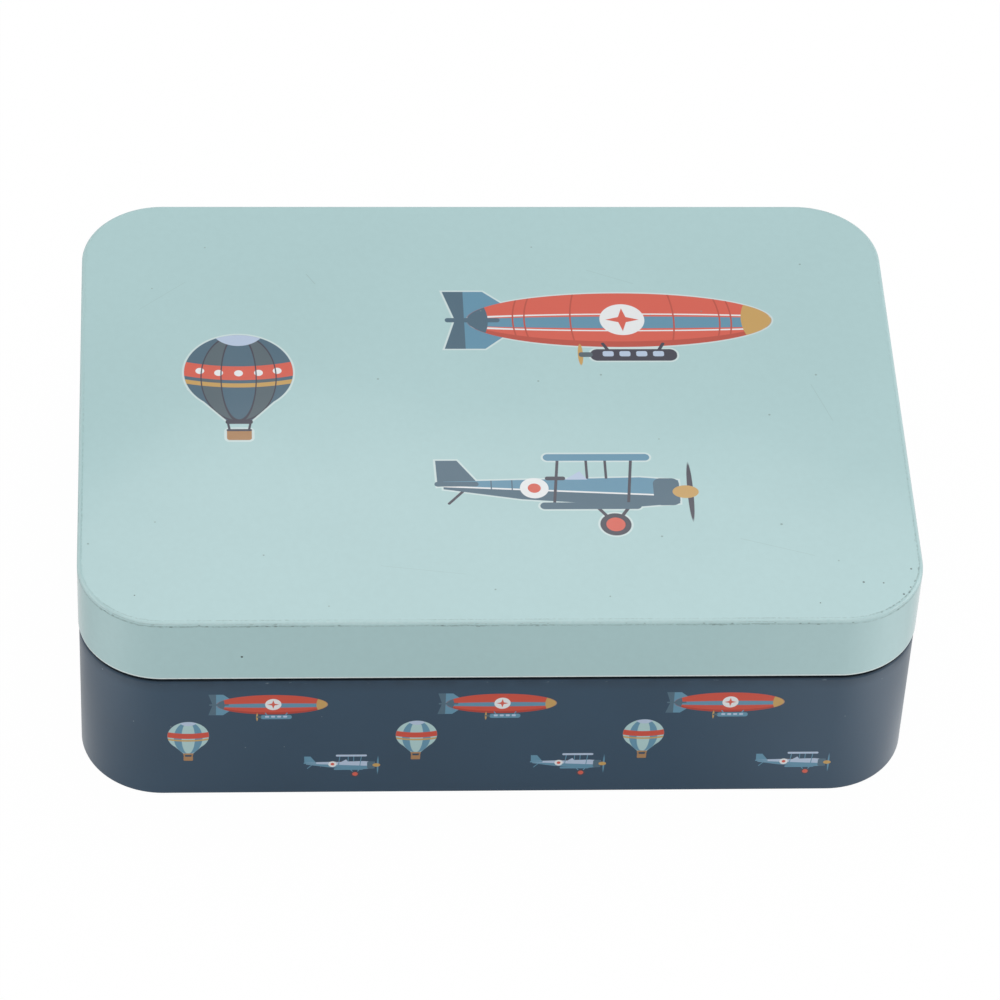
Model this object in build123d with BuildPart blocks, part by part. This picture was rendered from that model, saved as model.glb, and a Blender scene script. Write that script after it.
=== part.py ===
from build123d import *

import os
from math import acos, cos, degrees, radians, sin, sqrt

# A card game tin with a hinged lid, in printed tinplate. The base is a strip rolled into a wall,
# with a neck set in for the lid and a bottom seamed into its foot. The lid is one drawn shell,
# whose skirt covers the neck. Two riveted hinges with wire pins join them at the back.
# The origin is the centre of the base's outline, on the surface that the tin stands on. +X is to
# the right, +Y to the back, +Z up, and the lid is shut. Sizes are in millimetres.

# The tin as a whole
LENGTH = 140.0  # along X, over the lid
DEPTH = 102.0  # along Y, over the lid
HEIGHT = 41.6  # of the shut tin
SKIRT_DEPTH = 13.3  # of the lid, from its top to its hem
CORNER_RADIUS = 14.0  # of the lid, seen from above
SHEET = 0.25  # tinplate
FOLD_GAP = 0.05  # between the leaves of a folded hem or seam
PLATE_LAP = 1.0  # a flat panel reaches this far into its swept edge

# The lid
LID_EDGE_RADIUS = 0.7  # outside, between the top and the skirt
LID_HEM_HEIGHT = 2.2  # of the hem's inner leaf
LID_PROUD = 0.15  # the skirt stands this far outside the base's wall
LID_EDGE_RUN = 6.0  # width of the swept edge of the top panel

# The base
SHOULDER_GAP = 0.7  # between the lid's hem and the shoulder
SHOULDER_BEND = 0.3  # centreline radius of the two bends at the shoulder
NECK_GAP = 0.2  # least gap between the hem and the neck while the lid turns
RIM_GAP = 0.25  # between the rim's curl and the lid's top panel
CURL_DIAMETER = 1.3  # outside, of the rim's inward curl
CURL_TURN = 285.0  # degrees that the curl turns through
FOOT_HEM_HEIGHT = 1.6  # of the foot's inner leaf
FOOT_BEND = 0.25  # centreline radius of the two bends under the foot
BOTTOM_RECESS = 2.2  # from the surface up to the underside of the bottom's border
BOTTOM_BEND = 0.4  # centreline radius between the bottom and its turned-down edge
BOTTOM_BORDER = 4.0  # width of the bottom's border, outside the step that stiffens it
BOTTOM_STEP = 0.4  # the middle of the bottom stands this much higher than its border
BOTTOM_STEP_BEND = 0.6  # centreline radius of the step's two bends
BOTTOM_EDGE_RUN = 8.0  # width of the swept edge of the bottom
SEAM_WIDTH = 4.0  # of the side seam, inside the back wall
SEAM_FOLDS = 2  # extra leaves of tinplate in the side seam
SEAM_CLEAR = 0.6  # from the side seam's ends to the bottom and to the shoulder's bend

# The hinges
HINGE_SPACING = 76.0  # between the middles of the two hinges
HINGE_WIDTH = 20.0
STRAP_SHEET = 0.4
STRAP_REACH = 10.0  # from the pin's axis to a strap's far edge
STRAP_CORNER = 2.0  # radius of a strap's far corners
STRAP_NOTCH = 1.25  # from the pin's axis to the edge of a strap's plate
LID_KNUCKLE = 5.0  # width of each of the two lid knuckles
KNUCKLE_GAP = 0.2  # between neighbouring knuckles
ROLL_END = 60.0  # degrees from a strap round its barrel, back to the rolled sheet's end
ROLL_GAP = 0.12  # between the rolled sheet's end and the strap
PIN_DIAMETER = 1.2
PIN_GRIP = 0.01  # radial, in the lid's knuckles, which hold the pin
PIN_RUN = 0.05  # radial, in the base's knuckle, which turns on the pin
PIN_HEAD_DIAMETER = 1.9
PIN_HEAD = 0.35  # thickness of the upset head at each end of the pin
PIN_HEAD_ROUND = 0.12
BARREL_GAP = 0.1  # between the barrel and the lid's skirt
OPEN_ANGLE = 110.0  # degrees to which the lid opens
STOP_REACH = 0.6  # of the stop lip under the lid's strap, when open
STOP_GAP = 0.05  # between the stop lip and the lid's strap, when open

# The rivets
RIVET_SPACING = 11.0  # between the two rivets of one strap
RIVET_OFFSET = 6.0  # from the pin's axis
RIVET_DIAMETER = 1.6
RIVET_GAP = 0.05  # radial, in the strap and the tinplate
RIVET_HEAD_DIAMETER = 3.2
RIVET_HEAD = 0.7  # height of the domed head outside
RIVET_DOME = 0.6  # fillet of the domed head
RIVET_TAIL_DIAMETER = 2.6
RIVET_TAIL = 0.4  # height of the upset head inside
RIVET_TAIL_ROUND = 0.25

# Heights and outlines that follow
HEM_Z = HEIGHT - SKIRT_DEPTH
SHOULDER_Z = HEM_Z - SHOULDER_GAP
RIM_Z = HEIGHT - SHEET - RIM_GAP
BASE_LENGTH = LENGTH - 2 * LID_PROUD
BASE_DEPTH = DEPTH - 2 * LID_PROUD
BASE_RADIUS = CORNER_RADIUS - LID_PROUD
HEM_THICKNESS = 2 * SHEET + FOLD_GAP

# The pin's axis runs along X, behind the lid's skirt and level with the gap under its hem
BARREL_RADIUS = PIN_DIAMETER / 2 + PIN_RUN + STRAP_SHEET
AXIS_Y = DEPTH / 2 + BARREL_GAP + BARREL_RADIUS
AXIS_Z = HEM_Z - SHOULDER_GAP / 2
LID_STRAP_BACK = DEPTH / 2 - AXIS_Y  # from the axis to the straps' faces against the tinplate
BASE_STRAP_BACK = BASE_DEPTH / 2 - AXIS_Y

# The front hem swings inwards as the lid opens, and the neck is set in to let it pass
HEM_FRONT = AXIS_Y + DEPTH / 2 - HEM_THICKNESS
HEM_SWING = HEM_FRONT - sqrt(HEM_FRONT**2 + (HEM_Z - AXIS_Z) ** 2 - (RIM_Z - AXIS_Z) ** 2)
SHOULDER_STEP = HEM_THICKNESS - LID_PROUD + HEM_SWING + NECK_GAP

# Planes: a sheet's section at the middle of the front, x outwards and y up, and the back's view
LID_SECTION = Plane((0, -DEPTH / 2, 0), x_dir=(0, -1, 0), z_dir=(-1, 0, 0))
BASE_SECTION = Plane((0, -BASE_DEPTH / 2, 0), x_dir=(0, -1, 0), z_dir=(-1, 0, 0))
REAR = Plane((0, 0, 0), x_dir=(-1, 0, 0), z_dir=(0, 1, 0))

HINGES = {"left": -HINGE_SPACING / 2, "right": HINGE_SPACING / 2}


def outline(length, depth, radius):
    """Line round a rectangle with rounded corners, from the middle of its front."""
    side, back = depth - 2 * radius, length - 2 * radius
    with BuildLine() as line:
        run = Line((0, -depth / 2), (back / 2, -depth / 2))
        for straight in (side, back, side, back / 2):
            corner = JernArc(run @ 1, run % 1, radius, 90)
            run = Line(corner @ 1, corner @ 1 + corner % 1 * straight)
    return line.wire()


def rivet_places(height):
    """Places of the four rivets of one row, in the back's view."""
    return [(hinge + end * RIVET_SPACING / 2, height) for hinge in HINGES.values() for end in (-1, 1)]


def knuckle(strap_back, strap_edge, bore_radius):
    """Barrel rolled round the pin and the strap's run into it, in a plane across the pin."""
    way = 1 if strap_edge > 0 else -1
    sheet_middle = BARREL_RADIUS - STRAP_SHEET / 2
    roll_end = (-sheet_middle * cos(radians(ROLL_END)), way * sheet_middle * sin(radians(ROLL_END)))
    with BuildSketch() as section:
        Circle(BARREL_RADIUS)
        with BuildLine():
            Polyline(
                (strap_back, strap_edge),
                (-BARREL_RADIUS, 0),
                (STRAP_SHEET - BARREL_RADIUS, 0),
                (STRAP_SHEET + strap_back, strap_edge),
                close=True,
            )
        make_face()
        Circle(bore_radius, mode=Mode.SUBTRACT)
        with Locations(roll_end):
            Rectangle(STRAP_SHEET + ROLL_GAP, ROLL_GAP, rotation=-way * ROLL_END, mode=Mode.SUBTRACT)
    return section.sketch


def strap_plate(middle, way):
    """A strap's plate in the back's view, upwards (way 1) or downwards (way -1) of the pin."""
    with BuildSketch() as plate:
        with Locations((-middle, AXIS_Z + way * (STRAP_NOTCH + STRAP_REACH) / 2)):
            Rectangle(HINGE_WIDTH, STRAP_REACH - STRAP_NOTCH)
        far_corners = plate.vertices().sort_by(Axis.Y)[::way][-2:]
        fillet(far_corners, STRAP_CORNER)
        rivets_at = [-middle + end * RIVET_SPACING / 2 for end in (-1, 1)]
        with Locations(*((x, AXIS_Z + way * RIVET_OFFSET) for x in rivets_at)):
            Circle(RIVET_DIAMETER / 2 + RIVET_GAP, mode=Mode.SUBTRACT)
    return plate.sketch


def stop_lip():
    """The turned-out end of the base's knuckle, which lies along the lid's strap when it is open."""
    turn = radians(OPEN_ANGLE)
    along, across = Vector(sin(turn), cos(turn)), Vector(cos(turn), -sin(turn))
    face = across * (LID_STRAP_BACK + STRAP_SHEET + STOP_GAP)
    root, end = along * (PIN_DIAMETER / 2 + PIN_RUN), along * (STRAP_NOTCH + STOP_REACH)
    thick = across * STRAP_SHEET
    with BuildSketch() as lip:
        with BuildLine():
            Polyline(root + face, end + face, end + face + thick, root + face + thick, close=True)
        make_face()
    return lip.sketch


os.makedirs("parts", exist_ok=True)

lid_rivet_z = AXIS_Z + RIVET_OFFSET
base_rivet_z = AXIS_Z - RIVET_OFFSET
base_outline = outline(BASE_LENGTH, BASE_DEPTH, BASE_RADIUS)

# Lid: a flat top, a rounded edge, and a skirt folded inwards into a hem
with BuildPart() as lid:
    with BuildSketch(LID_SECTION):
        with BuildLine():
            edge_bend = LID_EDGE_RADIUS - SHEET / 2
            hem_bend = (SHEET + FOLD_GAP) / 2
            top = Line((-LID_EDGE_RUN, HEIGHT - SHEET / 2), (-LID_EDGE_RADIUS, HEIGHT - SHEET / 2))
            edge = JernArc(top @ 1, top % 1, edge_bend, -90)
            skirt = Line(edge @ 1, (-SHEET / 2, HEM_Z + SHEET / 2 + hem_bend))
            hem = JernArc(skirt @ 1, skirt % 1, hem_bend, -180)
            Line(hem @ 1, hem @ 1 + (0, LID_HEM_HEIGHT))
        trace(line_width=SHEET)
    sweep(path=outline(LENGTH, DEPTH, CORNER_RADIUS))
    lid_inset = LID_EDGE_RUN - PLATE_LAP
    with BuildSketch(Plane.XY.offset(HEIGHT - SHEET)):
        RectangleRounded(LENGTH - 2 * lid_inset, DEPTH - 2 * lid_inset, CORNER_RADIUS - lid_inset)
    extrude(amount=SHEET)
    with BuildSketch(REAR.offset(DEPTH / 2 - SHEET / 2)):
        with Locations(*rivet_places(lid_rivet_z)):
            Circle(RIVET_DIAMETER / 2 + RIVET_GAP)
    extrude(amount=SHEET, both=True, mode=Mode.SUBTRACT)
lid.part.label = "lid"
export_step(lid.part, "parts/lid.step")

# Base wall: foot hem, wall, shoulder, neck and curled rim, with the side seam inside the back
with BuildPart() as base_wall:
    with BuildSketch(BASE_SECTION):
        with BuildLine():
            foot_width = 2 * (SHEET + FOLD_GAP)
            foot_z = SHEET / 2 + FOOT_BEND
            shoulder_z = SHOULDER_Z - SHEET / 2
            curl_radius = (CURL_DIAMETER - SHEET) / 2
            leaf_x, wall_x = -SHEET / 2 - foot_width, -SHEET / 2
            neck_x = wall_x - SHOULDER_STEP
            leaf = Line((leaf_x, FOOT_HEM_HEIGHT), (leaf_x, foot_z))
            inner_bend = JernArc(leaf @ 1, leaf % 1, FOOT_BEND, 90)
            foot = Line(inner_bend @ 1, (wall_x - FOOT_BEND, SHEET / 2))
            outer_bend = JernArc(foot @ 1, foot % 1, FOOT_BEND, 90)
            wall = Line(outer_bend @ 1, (wall_x, shoulder_z - SHOULDER_BEND))
            bend_in = JernArc(wall @ 1, wall % 1, SHOULDER_BEND, 90)
            shoulder = Line(bend_in @ 1, (neck_x + SHOULDER_BEND, shoulder_z))
            bend_up = JernArc(shoulder @ 1, shoulder % 1, SHOULDER_BEND, -90)
            neck = Line(bend_up @ 1, (neck_x, RIM_Z - CURL_DIAMETER / 2))
            JernArc(neck @ 1, neck % 1, curl_radius, CURL_TURN)
        trace(line_width=SHEET)
    sweep(path=base_outline)
    seam_low = BOTTOM_RECESS + SHEET + SEAM_CLEAR
    seam_high = shoulder_z - SHOULDER_BEND - SEAM_CLEAR
    with BuildSketch(REAR.offset(BASE_DEPTH / 2 - SHEET)):
        with Locations((0, (seam_low + seam_high) / 2)):
            Rectangle(SEAM_WIDTH, seam_high - seam_low)
    extrude(amount=-SEAM_FOLDS * SHEET)
    with BuildSketch(REAR.offset(BASE_DEPTH / 2 - SHEET / 2)):
        with Locations(*rivet_places(base_rivet_z)):
            Circle(RIVET_DIAMETER / 2 + RIVET_GAP)
    extrude(amount=SHEET, both=True, mode=Mode.SUBTRACT)
base_wall.part.label = "base_wall"
export_step(base_wall.part, "parts/base_wall.step")

# Base bottom: a panel with a raised middle, whose turned-down edge is held in the foot's hem
with BuildPart() as base_bottom:
    with BuildSketch(BASE_SECTION):
        with BuildLine():
            border_z = BOTTOM_RECESS + SHEET / 2
            middle_z = border_z + BOTTOM_STEP
            edge_x = wall_x - SHEET - FOLD_GAP
            step_angle = degrees(acos(1 - BOTTOM_STEP / (2 * BOTTOM_STEP_BEND)))
            step_run = 2 * BOTTOM_STEP_BEND * sin(radians(step_angle))
            step_x = edge_x - BOTTOM_BORDER - step_run
            panel = Line((edge_x - BOTTOM_EDGE_RUN, middle_z), (step_x, middle_z))
            step_down = JernArc(panel @ 1, panel % 1, BOTTOM_STEP_BEND, -step_angle)
            step_level = JernArc(step_down @ 1, step_down % 1, BOTTOM_STEP_BEND, step_angle)
            border = Line(step_level @ 1, (edge_x - BOTTOM_BEND, border_z))
            edge_turn = JernArc(border @ 1, border % 1, BOTTOM_BEND, -90)
            Line(edge_turn @ 1, (edge_x, SHEET + FOLD_GAP))
        trace(line_width=SHEET)
    sweep(path=base_outline)
    bottom_inset = BOTTOM_EDGE_RUN - edge_x - PLATE_LAP
    with BuildSketch(Plane.XY.offset(BOTTOM_RECESS + BOTTOM_STEP)):
        RectangleRounded(
            BASE_LENGTH - 2 * bottom_inset, BASE_DEPTH - 2 * bottom_inset, BASE_RADIUS - bottom_inset
        )
    extrude(amount=SHEET)
base_bottom.part.label = "base_bottom"
export_step(base_bottom.part, "parts/base_bottom.step")

# Rivets: one row of four through the lid's straps and skirt, and one through the base's
for row, seat, height in (
    ("lid_rivets", DEPTH / 2, lid_rivet_z),
    ("base_rivets", BASE_DEPTH / 2, base_rivet_z),
):
    with BuildPart() as rivets:
        with BuildSketch(REAR.offset(seat + STRAP_SHEET)):
            with Locations(*rivet_places(height)):
                Circle(RIVET_HEAD_DIAMETER / 2)
        extrude(amount=RIVET_HEAD)
        fillet(rivets.edges().group_by(Axis.Y)[-1], RIVET_DOME)
        with BuildSketch(REAR.offset(seat - SHEET)):
            with Locations(*rivet_places(height)):
                Circle(RIVET_DIAMETER / 2)
        extrude(amount=SHEET + STRAP_SHEET)
        with BuildSketch(REAR.offset(seat - SHEET)):
            with Locations(*rivet_places(height)):
                Circle(RIVET_TAIL_DIAMETER / 2)
        extrude(amount=-RIVET_TAIL)
        fillet(rivets.edges().group_by(Axis.Y)[0], RIVET_TAIL_ROUND)
    rivets.part.label = row
    export_step(rivets.part, f"parts/{row}.step")

base_knuckle = HINGE_WIDTH - 2 * (LID_KNUCKLE + KNUCKLE_GAP)
for side, middle in HINGES.items():
    # Lid leaf: a strap with a knuckle at each end
    with BuildPart() as lid_leaf:
        with BuildSketch(REAR.offset(DEPTH / 2)):
            add(strap_plate(middle, 1))
        extrude(amount=STRAP_SHEET)
        for start in (middle - HINGE_WIDTH / 2, middle + HINGE_WIDTH / 2 - LID_KNUCKLE):
            with BuildSketch(Plane.YZ.offset(start)):
                with Locations((AXIS_Y, AXIS_Z)):
                    add(knuckle(LID_STRAP_BACK, STRAP_NOTCH, PIN_DIAMETER / 2 + PIN_GRIP))
            extrude(amount=LID_KNUCKLE)
    lid_leaf.part.label = f"lid_leaf_{side}"
    export_step(lid_leaf.part, f"parts/lid_leaf_{side}.step")

    # Base leaf: a strap with one knuckle between the lid's, whose end is turned out as a stop lip
    with BuildPart() as base_leaf:
        with BuildSketch(REAR.offset(BASE_DEPTH / 2)):
            add(strap_plate(middle, -1))
        extrude(amount=STRAP_SHEET)
        with BuildSketch(Plane.YZ.offset(middle - base_knuckle / 2)):
            with Locations((AXIS_Y, AXIS_Z)):
                add(knuckle(BASE_STRAP_BACK, -STRAP_NOTCH, PIN_DIAMETER / 2 + PIN_RUN))
                add(stop_lip())
        extrude(amount=base_knuckle)
    base_leaf.part.label = f"base_leaf_{side}"
    export_step(base_leaf.part, f"parts/base_leaf_{side}.step")

    # Hinge pin: a wire with an upset head at each end
    with BuildPart() as hinge_pin:
        with BuildSketch(Plane.YZ.offset(middle)):
            with Locations((AXIS_Y, AXIS_Z)):
                Circle(PIN_DIAMETER / 2)
        extrude(amount=HINGE_WIDTH / 2, both=True)
        for end in (-1, 1):
            with BuildSketch(Plane.YZ.offset(middle + end * HINGE_WIDTH / 2)):
                with Locations((AXIS_Y, AXIS_Z)):
                    Circle(PIN_HEAD_DIAMETER / 2)
            extrude(amount=end * PIN_HEAD)
        fillet(hinge_pin.edges().group_by(Axis.X)[0], PIN_HEAD_ROUND)
        fillet(hinge_pin.edges().group_by(Axis.X)[-1], PIN_HEAD_ROUND)
    hinge_pin.part.label = f"hinge_pin_{side}"
    export_step(hinge_pin.part, f"parts/hinge_pin_{side}.step")
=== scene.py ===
from functools import reduce
from math import acos, ceil, cos, degrees, hypot, pi, radians, sin

import bmesh
import bpy
import numpy as np
from mathutils import Matrix, Vector


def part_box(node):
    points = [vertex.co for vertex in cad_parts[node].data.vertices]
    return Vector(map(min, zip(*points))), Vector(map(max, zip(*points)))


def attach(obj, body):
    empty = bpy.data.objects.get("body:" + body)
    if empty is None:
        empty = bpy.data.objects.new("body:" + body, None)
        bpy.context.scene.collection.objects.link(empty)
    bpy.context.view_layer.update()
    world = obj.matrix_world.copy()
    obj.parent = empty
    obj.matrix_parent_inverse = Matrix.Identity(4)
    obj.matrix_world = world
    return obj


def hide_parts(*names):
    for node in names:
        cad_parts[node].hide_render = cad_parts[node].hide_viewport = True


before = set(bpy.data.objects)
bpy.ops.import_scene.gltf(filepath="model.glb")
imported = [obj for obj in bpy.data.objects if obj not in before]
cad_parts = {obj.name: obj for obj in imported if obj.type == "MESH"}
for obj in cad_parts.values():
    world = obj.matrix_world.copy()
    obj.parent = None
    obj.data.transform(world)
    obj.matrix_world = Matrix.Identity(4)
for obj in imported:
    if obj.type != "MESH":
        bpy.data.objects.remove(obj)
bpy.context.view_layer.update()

# ------------------------------
# Base bottom. A pressed plate of bare tinplate, with a raised middle that stiffens it and an
# edge turned down all round, which is dropped into the base wall and held by the wall's foot.

MM = 0.001
SHEET = 0.25 * MM  # tinplate
FOLD_GAP = 0.05 * MM  # between the leaves of a hem
EASE = 0.12 * MM  # the last cell of a flat, so that the bend beside it doesn't shade the rest
CELL = 7 * MM  # longest cell of a flat
BEND_CELL = 12  # degrees of a bend in one cell
SHARP = 30  # degrees that an edge turns by, past which it isn't shaded smooth
CORNER_CELL = 4  # degrees of a corner in one cell

wall_low, wall_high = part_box("base_wall")
BASE_LENGTH, BASE_DEPTH = wall_high.x - wall_low.x, wall_high.y - wall_low.y
BASE_RADIUS = 13.85 * MM  # of the corners, seen from above

BOTTOM_EDGE = -(1.5 * SHEET + FOLD_GAP)  # middle of the turned edge, from the wall's face
BOTTOM_LOW, BOTTOM_STEP = 2.325 * MM, 0.4 * MM  # middle of the border, and the rise inside it
BOTTOM_PANEL_RUN, BOTTOM_BORDER = 8 * MM, 4 * MM  # in from the turned edge
BOTTOM_STEP_BEND, BOTTOM_BEND = 0.6 * MM, 0.4 * MM
BOTTOM_EDGE_LOW = 0.3 * MM


def fold(start, heading, folds, bend_cell=BEND_CELL):
    """Points (x, y, heading) along a line of runs, each followed by a bend of (radius, degrees)."""
    x, y = start
    turn = radians(heading)
    line = [(x, y, turn)]
    for run, radius, bend in folds:
        ease = min(EASE, run / 4)
        cells = ceil((run - 2 * ease) / CELL)
        stops = [ease + (run - 2 * ease) * k / max(cells, 1) for k in range(cells + 1)] + [run]
        line += [(x + s * cos(turn), y + s * sin(turn), turn) for s in stops if run]
        x, y, _ = line[-1]
        side = 1 if bend > 0 else -1
        middle_x, middle_y = x - side * radius * sin(turn), y + side * radius * cos(turn)
        steps = ceil(abs(bend) / bend_cell)
        for _ in range(steps):
            turn += radians(bend) / steps
            x, y = middle_x + side * radius * sin(turn), middle_y - side * radius * cos(turn)
            line.append((x, y, turn))
    return line


def face_of(line, side):
    """One face of the sheet that a line is the middle of: 1 on the line's left, -1 on its right."""
    half = side * SHEET / 2
    return [(x - half * sin(turn), y + half * cos(turn)) for x, y, turn in line]


def outline(length, depth, radius):
    """Points round the tin seen from above, anticlockwise from the middle of the back."""
    half_run, side_run = length / 2 - radius, depth - 2 * radius
    folds = [(half_run, radius, 90), (side_run, radius, 90), (half_run, 0, 0)]
    left = [(x, y) for x, y, _ in fold((0, depth / 2), 180, folds, CORNER_CELL)]
    return left + [(-x, y) for x, y in reversed(left[:-1])]


class Wire:
    """An output of a node. Arithmetic on it adds the nodes that work it out."""

    def __init__(self, socket):
        self.socket, self.tree = socket, socket.id_data

    @staticmethod
    def add(tree, kind, settings, inputs, output=0):
        """Any other node: its settings are set first, then the values or links of its sockets."""
        node = tree.nodes.new(kind)
        for name, value in settings.items():
            setattr(node, name, value)
        for name, value in inputs.items():
            if isinstance(value, Wire):
                tree.links.new(value.socket, node.inputs[name])
            else:
                node.inputs[name].default_value = value
        return Wire(node.outputs[output])

    def node(self, kind, settings, inputs, output=0):
        return Wire.add(self.tree, kind, settings, inputs, output)

    def also(self, output):
        """Another output of the same node."""
        return Wire(self.socket.node.outputs[output])

    def into(self, socket):
        self.tree.links.new(self.socket, socket)

    def math(self, operation, *others, clamp=False):
        settings = {"operation": operation, "use_clamp": clamp}
        return self.node("ShaderNodeMath", settings, dict(enumerate((self, *others))))

    def vector(self, operation, *others, output=0):
        inputs = dict(enumerate((self, *others)))
        return self.node("ShaderNodeVectorMath", {"operation": operation}, inputs, output)

    def either(self, operation, a, b):
        kind = "ShaderNodeVectorMath" if self.socket.type == "VECTOR" else "ShaderNodeMath"
        return self.node(kind, {"operation": operation}, {0: a, 1: b})

    def __add__(self, other):
        return self.either("ADD", self, other)

    __radd__ = __add__

    def __sub__(self, other):
        return self.either("SUBTRACT", self, other)

    def __rsub__(self, other):
        return self.either("SUBTRACT", other, self)

    def __mul__(self, other):
        return self.either("MULTIPLY", self, other)

    __rmul__ = __mul__

    def __mod__(self, other):
        return self.math("FLOORED_MODULO", other)

    def __lt__(self, other):
        return self.math("LESS_THAN", other)

    def __gt__(self, other):
        return self.math("GREATER_THAN", other)

    def __abs__(self):
        return self.vector("ABSOLUTE") if self.socket.type == "VECTOR" else self.math("ABSOLUTE")

    def within(self, low, high):
        """0 at low, 1 at high and even between; low may be the larger."""
        return self.math("MULTIPLY_ADD", 1 / (high - low), -low / (high - low), clamp=True)

    def mix(self, colour, share):
        """This colour, turned into another by share."""
        return share.between(self, colour)

    def between(self, none, full):
        """A colour that is none at 0 and full at 1."""
        return self.node("ShaderNodeMix", {"data_type": "RGBA"}, {0: self, 6: none, 7: full}, 2)

    def apart(self):
        """The three parts of a vector."""
        x = self.node("ShaderNodeSeparateXYZ", {}, {0: self})
        return x, x.also(1), x.also(2)

    def together(self, x=0.0, y=0.0, z=0.0):
        """The vector of three parts."""
        return self.node("ShaderNodeCombineXYZ", {}, {0: x, 1: y, 2: z})

    def geometry(self):
        """The geometry of an object."""
        return self.node("GeometryNodeObjectInfo", {}, {0: self}, "Geometry")

    def noise(self, scale, detail=2):
        """Soft unevenness about 0.5, in spots about 1 / scale across."""
        return self.node("ShaderNodeTexNoise", {}, {"Vector": self, "Scale": scale, "Detail": detail})

    def spots(self, scale, spread, rim, core):
        """Scattered spots, whose radii in cells vary by spread, and a random number for each."""
        inputs = {"Vector": self, "Scale": scale}
        near = self.node("ShaderNodeTexVoronoi", {"voronoi_dimensions": "2D"}, inputs)
        chance, size, _ = near.also("Color").apart()
        return (near - size * spread).within(rim, core), chance


def new_tree(name, inputs):
    """A geometry tree, its named inputs as wires, and the identifiers of their sockets."""
    tree = bpy.data.node_groups.new(name, "GeometryNodeTree")
    tree.interface.new_socket("Geometry", in_out="OUTPUT", socket_type="NodeSocketGeometry")
    sockets = {}
    for label, kind in inputs.items():
        kind = "NodeSocket" + kind
        sockets[label] = tree.interface.new_socket(label, in_out="INPUT", socket_type=kind)
    given = Wire.add(tree, "NodeGroupInput", {}, {})
    wires = {label: given.also(label) for label in inputs}
    return tree, wires, {label: socket.identifier for label, socket in sockets.items()}


def placed(name, data):
    """A new object at the origin."""
    thing = bpy.data.objects.new(name, data)
    bpy.context.scene.collection.objects.link(thing)
    return thing


def made_by(name, tree, identifiers, values):
    """An object whose plain mesh is what the tree makes of these values."""
    piece = placed(name, bpy.data.meshes.new(name))
    maker = piece.modifiers.new("maker", "NODES")
    maker.node_group = tree
    for label, value in values.items():
        maker[identifiers[label]] = value
    graph = bpy.context.evaluated_depsgraph_get()
    made = bpy.data.meshes.new_from_object(
        piece.evaluated_get(graph), preserve_all_data_layers=True, depsgraph=graph
    )
    piece.modifiers.clear()
    piece.data = made
    return piece


def sweep_tree():
    """A closed sheet: a section swept round an outline. With a panel, both ends of the section
    are moved in to the outline's middle line, which closes the sheet's two faces."""
    inputs = {"Path": "Object", "Section": "Object", "Panel": "Float", "Half Middle Line": "Float"}
    inputs |= {"Printed Width": "Float", "Print": "Material", "Bare": "Material"}
    tree, given, identifiers = new_tree("swept_sheet", inputs)

    def stored(geometry, name, value, **settings):
        inputs = {0: geometry, 2: name, 3: value}
        return geometry.node("GeometryNodeStoreNamedAttribute", settings, inputs)

    def run(measure):
        return Wire.add(tree, "GeometryNodeSplineParameter", {}, {}, measure)

    def read(name):
        return Wire.add(tree, "GeometryNodeInputNamedAttribute", {}, {0: name})

    path = stored(given["Path"].geometry(), "along", run("Length"))
    path = path.node("GeometryNodeSetCurveNormal", {"mode": "Z_UP"}, {0: path})
    section = stored(given["Section"].geometry(), "across", run("Length"))
    section = stored(section, "share", run("Factor"))
    shell = path.node("GeometryNodeCurveToMesh", {}, {0: path, 1: section})
    flat = shell.together(read("along"), read("across"))
    shell = stored(shell, "sheet", flat, data_type="FLOAT2", domain="CORNER")
    x, _, z = Wire.add(tree, "GeometryNodeInputPosition", {}, {}).apart()
    limit = given["Half Middle Line"]
    x = x.math("MINIMUM", limit).math("MAXIMUM", limit * -1)
    middle = x.together(x, z=z)
    is_end = (abs(read("share") - 0.5) > 0.49999) * given["Panel"]
    shell = shell.node("GeometryNodeSetPosition", {}, {0: shell, 1: is_end, 2: middle})
    shell = shell.node("GeometryNodeMergeByDistance", {}, {0: shell, 2: 1e-6})
    shell = shell.node("GeometryNodeSetShadeSmooth", {}, {0: shell, 2: True})
    is_sharp = Wire.add(tree, "GeometryNodeInputMeshEdgeAngle", {}, {}) > radians(SHARP)
    settings = {"domain": "EDGE"}
    shell = shell.node("GeometryNodeSetShadeSmooth", settings, {0: shell, 1: is_sharp, 2: False})
    shell = shell.node("GeometryNodeRealizeInstances", {}, {0: shell})
    shell = shell.node("GeometryNodeSetMaterial", {}, {0: shell, 2: given["Bare"]})
    is_printed = read("across") < given["Printed Width"]
    shell = shell.node("GeometryNodeSetMaterial", {}, {0: shell, 1: is_printed, 2: given["Print"]})
    shell.into(tree.nodes.new("NodeGroupOutput").inputs[0])
    return tree, identifiers


SWEEP, SWEEP_SOCKETS = sweep_tree()


def curve_object(name, points):
    curve = bpy.data.curves.new(name, "CURVE")
    curve.dimensions = "3D"
    spline = curve.splines.new("POLY")
    spline.points.add(len(points) - 1)
    spline.points.foreach_set("co", [v for x, y in points for v in (x, y, 0, 1)])
    return placed(name, curve)


def swept(name, path, section, paint=None, printed_width=0.0, half_middle_line=None):
    """A piece from an outline in X and Y and a section of (outward, up), whose metal is on the
    right of the section's line. One with a middle line is closed by a panel."""
    values = {"Path": curve_object(name + "_path", path), "Printed Width": printed_width}
    values["Section"] = curve_object(name + "_section", [(out, -up) for out, up in section])
    values |= {"Print": paint or TINPLATE, "Bare": TINPLATE}
    if half_middle_line:
        values |= {"Panel": 1.0, "Half Middle Line": half_middle_line}
    piece = made_by(name, SWEEP, SWEEP_SOCKETS, values)
    for measure in ("along", "across", "share"):
        piece.data.attributes.remove(piece.data.attributes[measure])
    for drawn in (values["Path"], values["Section"]):
        bpy.data.objects.remove(drawn)
    return piece


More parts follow.
